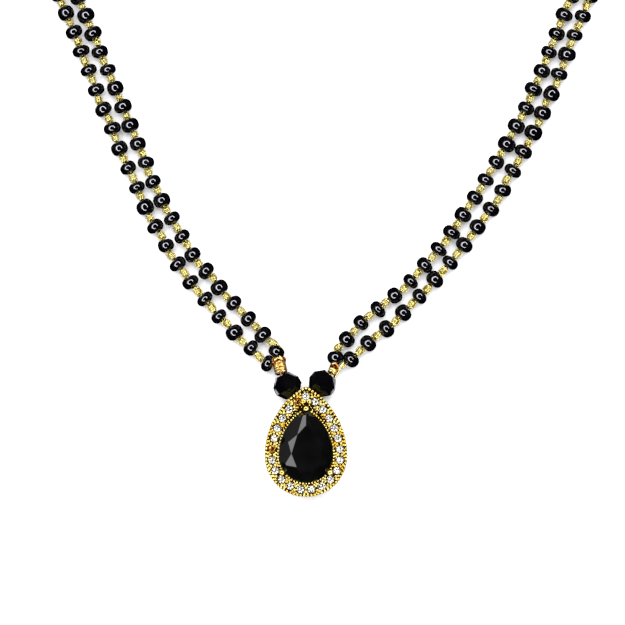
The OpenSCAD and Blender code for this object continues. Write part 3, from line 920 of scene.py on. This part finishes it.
def pear_edge(shape, grow, count):
    """Evenly spaced points round a pear grown by an offset, each with its outward direction."""
    steps = 1440
    dense = []
    for k in range(steps + 1):
        a = math.pi / 2 - math.tau * k / steps
        out = Vector((math.cos(a), math.sin(a)))
        dense.append((pear_point(shape, a) + out * grow, out))
    reach = [0.0]
    for (p, _), (q, _) in zip(dense, dense[1:]):
        reach.append(reach[-1] + (q - p).length)
    places = []
    i = 0
    for k in range(count):
        goal = reach[-1] * k / count
        while reach[i + 1] < goal:
            i += 1
        share = (goal - reach[i]) / max(1e-9, reach[i + 1] - reach[i])
        (p, u), (q, v) = dense[i], dense[i + 1]
        places.append((p.lerp(q, share), u.lerp(v, share).normalized()))
    return places, reach[-1]


STONE_PEAR = pear(STONE_R, STONE_TIP_R, STONE_L)
HALO_PEAR = pear(HALO_R, HALO_TIP_R, HALO_L)
ROW_PEAR = pear(ROW_R, ROW_TIP_R, ROW_L)


def row_gaps():
    """The gaps between the small stones, each with its outward direction."""
    return pear_edge(ROW_PEAR, 0, HALO_COUNT * 2)[0][1::2]


@functools.cache
def prong_places():
    """Middles of the three prongs' balls, in millimetres."""
    gaps = row_gaps()
    azimuths = [math.pi / 2, *(math.atan2(gaps[k][1].y, gaps[k][1].x) for k in PRONG_GAPS)]
    return [
        pear_point(STONE_PEAR, a) + Vector((math.cos(a), math.sin(a))) * PRONG_OUT for a in azimuths]


def near_prong(point):
    """Whether a grain at a point would be in the way of a prong."""
    return min((point - ball).length for ball in prong_places()) < PRONG_ROOM


def cut_stone(diameter, crown, pavilion):
    """Points and faces of a round brilliant whose girdle lies at zero height, in millimetres."""
    r = diameter / 2
    half = math.tau / 16
    table_r, star_r, low_r = (r * share for share in CUT_SHARES)
    star_z = crown - (star_r * math.cos(half) - table_r) * crown / (r - table_r)
    low_z = low_r * math.cos(half) * pavilion / r - pavilion
    rings = (
        (table_r, crown, 0), (star_r, star_z, half), (r, 0, 0), (r, 0, half), (low_r, low_z, half))
    points = []
    for radius, z, turn in rings:
        points += circle(UP * z, EAST, NORTH, radius, 8, turn)
    points.append(UP * -pavilion)
    t, s, m, h, l, culet = range(0, 48, 8)
    faces = [tuple(range(8))]
    for k in range(8):
        j = (k + 1) % 8
        i = (k - 1) % 8
        faces += [
            (t + k, s + k, t + j), (t + k, s + i, m + k, s + k), (s + k, m + k, h + k),
            (s + k, h + k, m + j), (l + k, h + k, m + k), (l + k, m + j, h + k),
            (culet, l + k, m + k, l + i)]
    return points, faces


def orient_outwards(piece):
    """Turns a closed piece's faces outwards."""
    shell = bmesh.new()
    shell.from_mesh(piece.data)
    bmesh.ops.recalc_face_normals(shell, faces=shell.faces)
    shell.to_mesh(piece.data)
    shell.free()


class NECKLACE_OT_stones(bpy.types.Operator):
    """Cut the small clear stones of the halo and finish the black pear stone"""
    bl_idname = "necklace.stones"
    bl_label = "Stones"

    def execute(self, context):
        # Cutting leaves flat bright facets. Two of them get a gold tint and some metal shine, a painted
        # reflection of the gold setting
        clear = clear_zirconia("clear_cubic_zirconia_cut", "clear")
        backed = clear_zirconia("clear_cubic_zirconia_gold_backed", "backed", painted_gold_shine=0.45)
        draw = random.Random(STONE_SEED)
        for k, (place, _) in enumerate(pear_edge(ROW_PEAR, 0, HALO_COUNT)[0], 1):
            points, faces = cut_stone(HALO_STONE_D, CROWN_H, PAVILION_H)
            turn = Matrix.Rotation(draw.uniform(0, math.tau), 3, "Z")
            lean = Matrix.Rotation(math.radians(draw.uniform(-STONE_LEAN, STONE_LEAN)), 3, "X")
            centre = Vector((*place, HALO_GIRDLE_Z))
            shape = Shape()
            shape.add([(turn @ (lean @ p) + centre) * MM for p in points], faces)
            look = backed if k in REFLECTING_STONES else clear
            piece = shape.object(f"cut_stone_{k:02d}", look, smooth=False)
            orient_outwards(piece)
            seat(piece, "clear_stone", f"halo_stone_{k:02d}")
        # Polish after cutting leaves even black planes that mirror a light as one flat grey
        polished = black_glass(
            "black_glass_stone_cut_polished", "stone", ior=1.5, roughness=0.03, dimple=1.4,
            dimple_height=0.001)
        dress_node("centre_stone", polished, "glass_pieces", "centre_stone")
        return {"FINISHED"}


class NECKLACE_OT_setting(bpy.types.Operator):
    """Finish the pendant's gold and add its milled grains, claws and polished prongs"""
    bl_idname = "necklace.setting"
    bl_label = "Setting"

    def execute(self, context):
        sizes = context.scene.necklace_pendant
        tones = ("gold", "gold_deep")
        # Casting leaves a grainy skin. Painted shade darkens it down between the raised parts
        cast = gold_plate(
            "gold_plated_brass_cast", tones, roughness=0.2, grain=0.22, grain_height=0.03,
            patch=1.6, recess_shade=("recess_shade", TOP_Z - 0.03, RIM_TOP_Z + 0.03))
        # Milling leaves small round grains. Painted shade darkens their feet, below their bright tops
        milled = gold_plate(
            "gold_plated_brass_milled", tones, roughness=0.1, grain=0.3, grain_height=0.003,
            patch=1.6, recess_shade=("recess_shade", TOP_Z - 0.02, TOP_Z + 0.17))
        # Burnishing makes the balls the smoothest gold of all
        burnished = gold_plate(
            "gold_plated_brass_burnished", tones, roughness=0.08, grain=0.4, grain_height=0.002,
            patch=1.6)
        dress_node("setting", cast, "gold_pieces")
        self.add_rim_grains(
            "milled_edge", milled, HALO_PEAR, -RIM_W * 0.45, sizes.edge_grain / MM,
            sizes.edge_pitch / MM, RIM_TOP_Z - 0.02)
        self.add_rim_grains(
            "milled_bezel", milled, STONE_PEAR, INNER_RIM_W * 0.5, sizes.inner_grain / MM,
            sizes.inner_pitch / MM, RIM_TOP_Z)
        self.add_plate_grains(milled, sizes.plate_grain / MM, sizes.plate_pitch / MM)
        self.add_claws(milled, sizes.claw / MM)
        self.add_prong_balls(burnished)
        return {"FINISHED"}

    def add_rim_grains(self, name, material, outline, offset, radius, pitch, z):
        """A row of grains along a rim, in millimetres."""
        _, length = pear_edge(outline, offset, 1)
        places, _ = pear_edge(outline, offset, round(length / pitch))
        draw = random.Random(RIM_SEED)
        rise, shares = (-0.04, 0.03), (0.88, 1.08)
        shape = Shape()
        for place, _ in places:
            if not near_prong(place):
                centre = mm(*place, z + draw.uniform(*rise))
                add_ball(shape, centre, radius * draw.uniform(*shares) * MM)
        seat(shape.object(name, material), "gold_metal")

    def add_plate_grains(self, material, radius, pitch):
        """Grains raised all over the plate, between the rims and the small stones."""
        stones = [place for place, _ in pear_edge(ROW_PEAR, 0, HALO_COUNT)[0]]
        draw = random.Random(PLATE_SEED)
        shape = Shape()
        reach = int(HALO_L / pitch) + 2
        row_pitch = pitch * 0.866
        stray, shares, rise = 0.06, (0.85, 1.15), (0.3, 0.75)
        overlap = 0.04
        room = radius * 0.3
        for j in range(-reach, reach):
            for i in range(-reach, reach):
                x = (i + (j % 2) / 2) * pitch + draw.uniform(-stray, stray)
                y = j * row_pitch + draw.uniform(-stray, stray)
                p = Vector((x, y))
                inside = pear_reach(HALO_PEAR, p) < -RIM_W - room
                outside = pear_reach(STONE_PEAR, p) > INNER_RIM_W + room
                clear = min((p - stone).length for stone in stones) > HALO_STONE_D / 2 - overlap
                if inside and outside and clear and not near_prong(p):
                    r = radius * draw.uniform(*shares)
                    add_ball(shape, mm(x, y, TOP_Z + r * draw.uniform(*rise)), r * MM)
        seat(shape.object("plate_grains", material), "gold_metal")

    def add_claws(self, material, radius):
        """Claws between neighbouring stones reach over the stones' edges."""
        draw = random.Random(CLAW_SEED)
        stray, shares, lift = (-0.04, 0.04), (0.9, 1.1), 0.16
        shape = Shape()
        for place, out in row_gaps():
            along = Vector((-out.y, out.x))
            for sideways, outwards, size in CLAW_PLACES:
                p = place + along * sideways + out * (outwards + draw.uniform(*stray))
                r = radius * size * draw.uniform(*shares)
                if not near_prong(p):
                    add_ball(shape, mm(*p, TOP_Z + lift + r * 0.35), r * MM)
        seat(shape.object("halo_claws", material), "gold_metal")

    def add_prong_balls(self, material):
        """The burnished ends of the three prongs, a skin over the frame's."""
        shape = Shape()
        skin = 0.02
        for p in prong_places():
            add_ball(shape, mm(*p, PRONG_Z), (PRONG_BALL_R + skin) * MM, rings=12, sides=20)
        seat(shape.object("prong_balls", material), "gold_metal")


def rondelle_mesh(name, middle, azimuth, material, bevel):
    """A drilled rondelle with three rows of triangular facets, whose edges are slightly worn."""
    n = RONDELLE_FACETS
    ends = RONDELLE_L / 2
    band = RONDELLE_BAND / 2
    shell = bmesh.new()

    def row(x, radius, turned):
        """Corners round the hole, turned by this many half facets."""
        return [
            shell.verts.new(p)
            for p in circle(EAST * x, NORTH, UP, radius, n, turned * math.pi / n)]

    rows = [
        row(-ends, RONDELLE_FLAT_R, 1.5), row(-band, RONDELLE_R, 0.5), row(band, RONDELLE_R, 1.5),
        row(ends, RONDELLE_FLAT_R, 2.5)]
    holes = [row(-ends, RONDELLE_HOLE_R, 1.5), row(ends, RONDELLE_HOLE_R, 2.5)]
    for g, back in enumerate((True, False, False)):
        for k in range(n):
            a, b = rows[g][k], rows[g][(k + 1) % n]
            c, d = rows[g + 1][k], rows[g + 1][(k + 1) % n]
            for face in ((a, c, d), (a, d, b)) if back else ((a, c, b), (b, c, d)):
                shell.faces.new(face)
    edges = list(shell.edges)
    for k in range(n):
        j = (k + 1) % n
        shell.faces.new((rows[0][k], rows[0][j], holes[0][j], holes[0][k]))
        shell.faces.new((rows[3][j], rows[3][k], holes[1][k], holes[1][j]))
        shell.faces.new((holes[0][k], holes[0][j], holes[1][j], holes[1][k]))
    bmesh.ops.recalc_face_normals(shell, faces=shell.faces)
    bmesh.ops.bevel(
        shell, geom=edges, offset=bevel / MM, offset_type="OFFSET", segments=2, profile=0.6,
        affect="EDGES")
    place = Matrix.Translation(middle) @ Matrix.Rotation(azimuth, 4, "Z")
    bmesh.ops.transform(shell, matrix=Matrix.Scale(MM, 4) @ place, verts=shell.verts)
    mesh = bpy.data.meshes.new(name)
    shell.to_mesh(mesh)
    shell.free()
    return link_piece(name, mesh, material)


class NECKLACE_OT_rondelles(bpy.types.Operator):
    """Cut the two faceted black rondelles"""
    bl_idname = "necklace.rondelles"
    bl_label = "Rondelles"

    def execute(self, context):
        # Cutting leaves flat, nearly black facets with thin grey glints along their edges
        cut = black_glass(
            "black_rondelle_glass_cut", "rondelle", ior=1.42, roughness=0.04, dimple=1.2,
            dimple_height=0.003)
        for name, side in SIDES.items():
            piece = rondelle_mesh(
                f"cut_rondelle_{name}", Vector((*side["middle"], RONDELLE_R)),
                math.radians(side["hole"]), cut, context.scene.necklace_wire.bevel)
            seat(piece, "black_glass", f"rondelle_{name}", lit="rondelles")
        return {"FINISHED"}


def heading(azimuth_degrees, drop_degrees=0):
    """Direction towards an azimuth, dropping below the level by an angle."""
    a = math.radians(azimuth_degrees)
    b = math.radians(drop_degrees)
    return Vector((math.cos(a) * math.cos(b), math.sin(a) * math.cos(b), -math.sin(b)))


def add_wraps(shape, start, axis, radius, wire_r, turns, pitch, lean, steps=22):
    """Adds turns of wire round an axis. The turns lean over by an angle in degrees."""
    side = axis.cross(UP).normalized()
    top = side.cross(axis).normalized()
    skew = radius * math.tan(math.radians(lean))
    line = []
    for k in range(int(turns * steps) + 1):
        a = math.tau * k / steps
        along = pitch * k / steps + math.sin(a) * skew
        line.append(
            start + axis * along + side * (radius * math.cos(a)) + top * (radius * math.sin(a)))
    add_wire(shape, line, wire_r, sides=8)


class NECKLACE_OT_wraps(bpy.types.Operator):
    """Wrap the wire that joins the strands to the rondelles and the pendant"""
    bl_idname = "necklace.wraps"
    bl_label = "Wrapped Wire"

    def execute(self, context):
        sizes = context.scene.necklace_wire
        # Wrapping by hand leaves a soft reddish shine. Painted shade makes it browner low down between
        # the turns
        wrapped = gold_plate(
            "gold_plated_copper_wire_wrapped", ("gold", "copper_wire"), roughness=0.15, grain=0.3,
            grain_height=0.004, patch=0.7, recess_shade=("wrap_shade", 0, WRAP_SHADE_Z))
        # Drawing alone leaves the straight wire pale and a little brighter than the links
        drawn = gold_plate(
            "gold_plated_wire_drawn_straight", ("wire", "gold"), roughness=0.16, grain=0.4,
            grain_height=0.003, patch=2.5)
        wrap_r = sizes.wrap_d / 2
        for name, side in SIDES.items():
            shape = Shape()
            end = self.add_pin(shape, side, sizes.pin_d / 2)
            self.add_wrapping(shape, end, side, wrap_r)
            seat(shape.object(f"wrapped_wire_{name}", wrapped), "gold_wire", f"connector_{name}")
        straight = Shape()
        line = self.places(end, side, STRAIGHT_WIRE)
        add_wire(straight, line, wrap_r * STRAIGHT_SHARE, sides=10)
        seat(straight.object("straight_wire_right", drawn), "gold_wire")
        return {"FINISHED"}

    def places(self, end, side, spots):
        """Points at distances along the wrapped wire's core, across it and up, in millimetres."""
        axis = heading(side["coil"], COIL_DROP)
        across = heading(side["coil"] - 90)
        return [
            end + axis * along * MM + across * out * MM + UP * sum(up) * MM
            for along, out, *up in spots]

    def add_pin(self, shape, side, wire_r):
        """The wire through the rondelle, with the eye that holds the pendant's back loop."""
        middle = mm(*side["middle"], RONDELLE_R)
        along = heading(side["hole"])
        eye_r = PIN_EYE_R * MM
        eye = middle - along * ((RONDELLE_L / 2 + COIL_GAP) * MM + eye_r + wire_r)
        add_ring(shape, eye, UP, eye_r, wire_r, sides=8, steps=24)
        end = middle + along * ((RONDELLE_L / 2 + SHANK_OUT) * MM)
        add_wire(shape, [eye + along * eye_r, end], wire_r, sides=8)
        return end

    def add_wrapping(self, shape, end, side, wire_r):
        """The core of the wrapped wire, the turns and loops round it and the cut end."""
        axis = heading(side["coil"], COIL_DROP)
        add_wire(shape, [end, end + axis * side["core"] * MM], wire_r, sides=8)
        for along, radius, share, turns, pitch, lean in side["wraps"]:
            add_wraps(
                shape, end + axis * along * MM, axis, radius * MM, wire_r * share, turns,
                wire_r * pitch, lean)
        for *spot, turn, radius in side["loops"]:
            centre, = self.places(end, side, [spot])
            normal = Matrix.Rotation(math.radians(turn), 3, axis) @ UP
            add_ring(shape, centre, normal, radius * MM, wire_r * LOOP_SHARE)
        if side["stub"]:
            add_wire(shape, self.places(end, side, side["stub"]), wire_r * STUB_SHARE)


class NECKLACE_OT_clasp(bpy.types.Operator):
    """Finish the plain gold clasp"""
    bl_idname = "necklace.clasp"
    bl_label = "Clasp"

    def execute(self, context):
        # Polishing leaves a plain shine with faint waves
        polished = gold_plate(
            "gold_plated_brass_polished", ("gold", "gold_deep"), roughness=0.16, grain=0.5,
            grain_height=0.004, patch=3.0)
        dress_node("clasp", polished, "gold_pieces")
        return {"FINISHED"}


class NECKLACE_OT_stage(bpy.types.Operator):
    """Lay the white surface and set up the lights and the camera"""
    bl_idname = "necklace.stage"
    bl_label = "Stage"

    def execute(self, context):
        stage = context.scene.necklace_stage
        self.add_floor()
        self.add_arc_lights(stage)
        self.add_tent(stage)
        self.add_rim_cards(stage)
        self.add_key(stage)
        self.add_world(context.scene, stage)
        self.add_camera(context.scene, stage)
        context.scene.view_settings.view_transform = "Standard"
        return {"FINISHED"}

    def add_floor(self):
        """The white surface, just below the necklace. The gold and glass don't mirror it."""
        shape = Shape()
        corners = [(-1, -1), (1, -1), (1, 1), (-1, 1)]
        shape.add(
            [Vector((x * FLOOR_REACH, y * FLOOR_REACH, -FLOOR_DROP * MM)) for x, y in corners],
            [(0, 1, 2, 3)])
        floor = shape.object("floor", white_card("white_card_matt", "floor"), False)
        floor.visible_glossy = False

    def add_glow(self, name, shape, hex_colour, strength, lit):
        """A shining surface that shows only in the reflections of the pieces that it is for."""
        material, tree = new_material(f"{name}_diffuser")
        glow = add_node(tree, "ShaderNodeEmission", inputs={
            "Color": linear(hex_colour), "Strength": strength})
        add_node(tree, "ShaderNodeOutputMaterial", inputs={"Surface": (glow, "Emission")})
        light = shape.object(name, material, False)
        for ray in ("camera", "diffuse", "shadow", "transmission"):
            setattr(light, f"visible_{ray}", False)
        light.light_linking.receiver_collection = pieces_lit_alone(lit)

    def add_arc_lights(self, stage):
        """Arcs of light above the view. The ring has a gap, so that it shows as a bright C in each
        bead. The strip outside it lights the black stone's left facets, and a dim card below that
        shows in its side facets."""
        high = stage.ring_height
        strip_outer, strip_start, strip_sweep = (math.radians(d) for d in STRIP)
        ring = (stage.ring_inner, stage.ring_outer, stage.ring_gap_at + stage.ring_gap / 2,
                math.tau - stage.ring_gap)
        strip = (stage.ring_outer, strip_outer, strip_start, strip_sweep)
        card = [math.radians(d) for d in SIDE_CARD]
        for name, angles, height, strength, lit, tint in (
                ("ring_light", ring, high, stage.ring_strength, "glass_pieces", "#f3f0ff"),
                ("strip_light", strip, high, stage.strip_strength, "glass_pieces", "#f4f4f2"),
                ("side_card", card, high * SIDE_CARD_HEIGHT, stage.side_strength, "centre_stone",
                 "#f4f4f2")):
            inner, outer, start, sweep = angles
            shape = Shape()
            shape.add_arc(
                Vector((stage.view_x, stage.view_y, height)), height * math.tan(inner),
                height * math.tan(outer), start, sweep, steps=48)
            self.add_glow(name, shape, tint, strength, lit)

    def add_tent(self, stage):
        """The white tent, which only the gold mirrors: base, sides, a bright upper band and the top."""
        rings = {
            name: circle(
                Vector((stage.view_x, stage.view_y, height)), EAST, NORTH, radius, count=32)
            for name, (radius, height) in TENT_RINGS.items()}
        for name, rows, strength in (
                ("base", ["base"], stage.tent_base), ("side", ["foot", "band"], stage.tent_side),
                ("band", ["band", "brim"], stage.tent_band), ("top", ["top"], stage.tent_top)):
            shape = Shape()
            if len(rows) == 1:
                shape.add(rings[name], [tuple(range(len(rings[name])))])
            else:
                shape.add_rows([rings[row] for row in rows])
            self.add_glow(f"tent_{name}_light", shape, "#fffdf6", strength, "gold_pieces")

    def add_rim_cards(self, stage):
        """Small cards beside the rondelles, which alone mirror them."""
        for name, cards in RIM_CARDS.items():
            shape = Shape()
            for start, end, near, far in cards:
                shape.add_arc(
                    mm(*SIDES[name]["middle"], 0), near * MM, far * MM, math.radians(start),
                    math.radians(end - start), steps=8)
            self.add_glow(f"rim_cards_{name}", shape, "#f4f4ff", stage.rim_strength, "rondelles")

    def add_key(self, stage):
        """The large soft light above the view, which gives the soft shadows."""
        light = bpy.data.lights.new("key_softbox", "AREA")
        light.shape = "RECTANGLE"
        light.size, light.size_y = KEY_SIZE
        light.energy = stage.key_power
        key = bpy.data.objects.new("key_softbox", light)
        middle = Vector((stage.view_x, stage.view_y, 0))
        key.location = middle + Vector(KEY_PLACE)
        key.rotation_euler = (middle - key.location).to_track_quat("-Z", "Y").to_euler()
        key.visible_glossy = False
        key.visible_transmission = False
        bpy.context.scene.collection.objects.link(key)

    def add_world(self, scene, stage):
        """White air that lights the surface. Mirrored it is dark. The clear stones see it mottled."""
        world = bpy.data.worlds.new("studio_air")
        world.use_nodes = True
        tree = world.node_tree
        tree.nodes.clear()
        place = add_node(tree, "ShaderNodeTexCoord")
        parts = add_node(tree, "ShaderNodeSeparateXYZ", inputs={"Vector": (place, "Generated")})
        dim = add_node(
            tree, "ShaderNodeValToRGB", inputs={"Fac": (parts, "Z")},
            stops=[(z, grey(value)) for z, value in MIRRORED_AIR])
        dark = add_node(tree, "ShaderNodeBackground", inputs={"Color": (dim, "Color")})
        bright = add_node(tree, "ShaderNodeBackground", inputs={
            "Color": linear("#fbfbff"), "Strength": stage.air_strength})
        patches = add_node(tree, "ShaderNodeTexNoise", inputs={
            "Vector": (place, "Generated"), "Scale": SPOT_COUNT, "Detail": 0.0})
        spots = add_node(
            tree, "ShaderNodeValToRGB", inputs={"Fac": (patches, "Fac")},
            stops=[(SPOT_EDGE[0], grey(SPOT_DARK)), (SPOT_EDGE[1], grey(1.0))])
        mottled = add_node(tree, "ShaderNodeBackground", inputs={
            "Color": (spots, "Color"), "Strength": stage.spot_strength})
        path = add_node(tree, "ShaderNodeLightPath")
        mirrored = add_node(tree, "ShaderNodeMixShader", inputs={
            "Fac": (path, "Is Glossy Ray"), 1: (bright, "Background"), 2: (dark, "Background")})
        through = add_node(tree, "ShaderNodeMixShader", inputs={
            "Fac": (path, "Is Transmission Ray"), 1: (mirrored, "Shader"),
            2: (mottled, "Background")})
        add_node(tree, "ShaderNodeOutputWorld", inputs={"Surface": (through, "Shader")})
        scene.world = world

    def add_camera(self, scene, stage):
        """The camera looks straight down, sharp and framed at the height of the beads' middles."""
        lens = bpy.data.cameras.new("camera")
        lens.lens = stage.lens
        lens.clip_start = 0.01
        camera = bpy.data.objects.new("camera", lens)
        distance = stage.view_w * lens.lens / lens.sensor_width
        camera.location = (stage.view_x, stage.view_y, distance + scene.necklace_beads.bead_d / 2)
        scene.collection.objects.link(camera)
        scene.camera = camera


OPERATORS = [
    NECKLACE_OT_stage, NECKLACE_OT_setting, NECKLACE_OT_stones, NECKLACE_OT_rondelles,
    NECKLACE_OT_wraps, NECKLACE_OT_beads, NECKLACE_OT_links, NECKLACE_OT_clasp]


class NECKLACE_PT_looks(bpy.types.Panel):
    """Lists the necklace's sizes and the steps that build its looks"""
    bl_idname = "NECKLACE_PT_looks"
    bl_label = "Mangalsutra"
    bl_space_type = "VIEW_3D"
    bl_region_type = "UI"
    bl_category = "Mangalsutra"

    def draw(self, context):
        for group in GROUPS:
            box = self.layout.box()
            settings = getattr(context.scene, group)
            for name in settings.__annotations__:
                box.prop(settings, name)
        for operator in OPERATORS:
            self.layout.operator(operator.bl_idname)


CLASSES = [*GROUPS.values(), *OPERATORS, NECKLACE_PT_looks]


def register():
    for cls in CLASSES:
        bpy.utils.register_class(cls)
    for name, group in GROUPS.items():
        setattr(bpy.types.Scene, name, bpy.props.PointerProperty(type=group))


def unregister():
    for name in GROUPS:
        delattr(bpy.types.Scene, name)
    for cls in reversed(CLASSES):
        bpy.utils.unregister_class(cls)


def main():
    """Registers the add-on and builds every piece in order."""
    register()
    for operator in OPERATORS:
        group, name = operator.bl_idname.split(".")
        getattr(getattr(bpy.ops, group), name)()


if __name__ == "__main__":
    main()
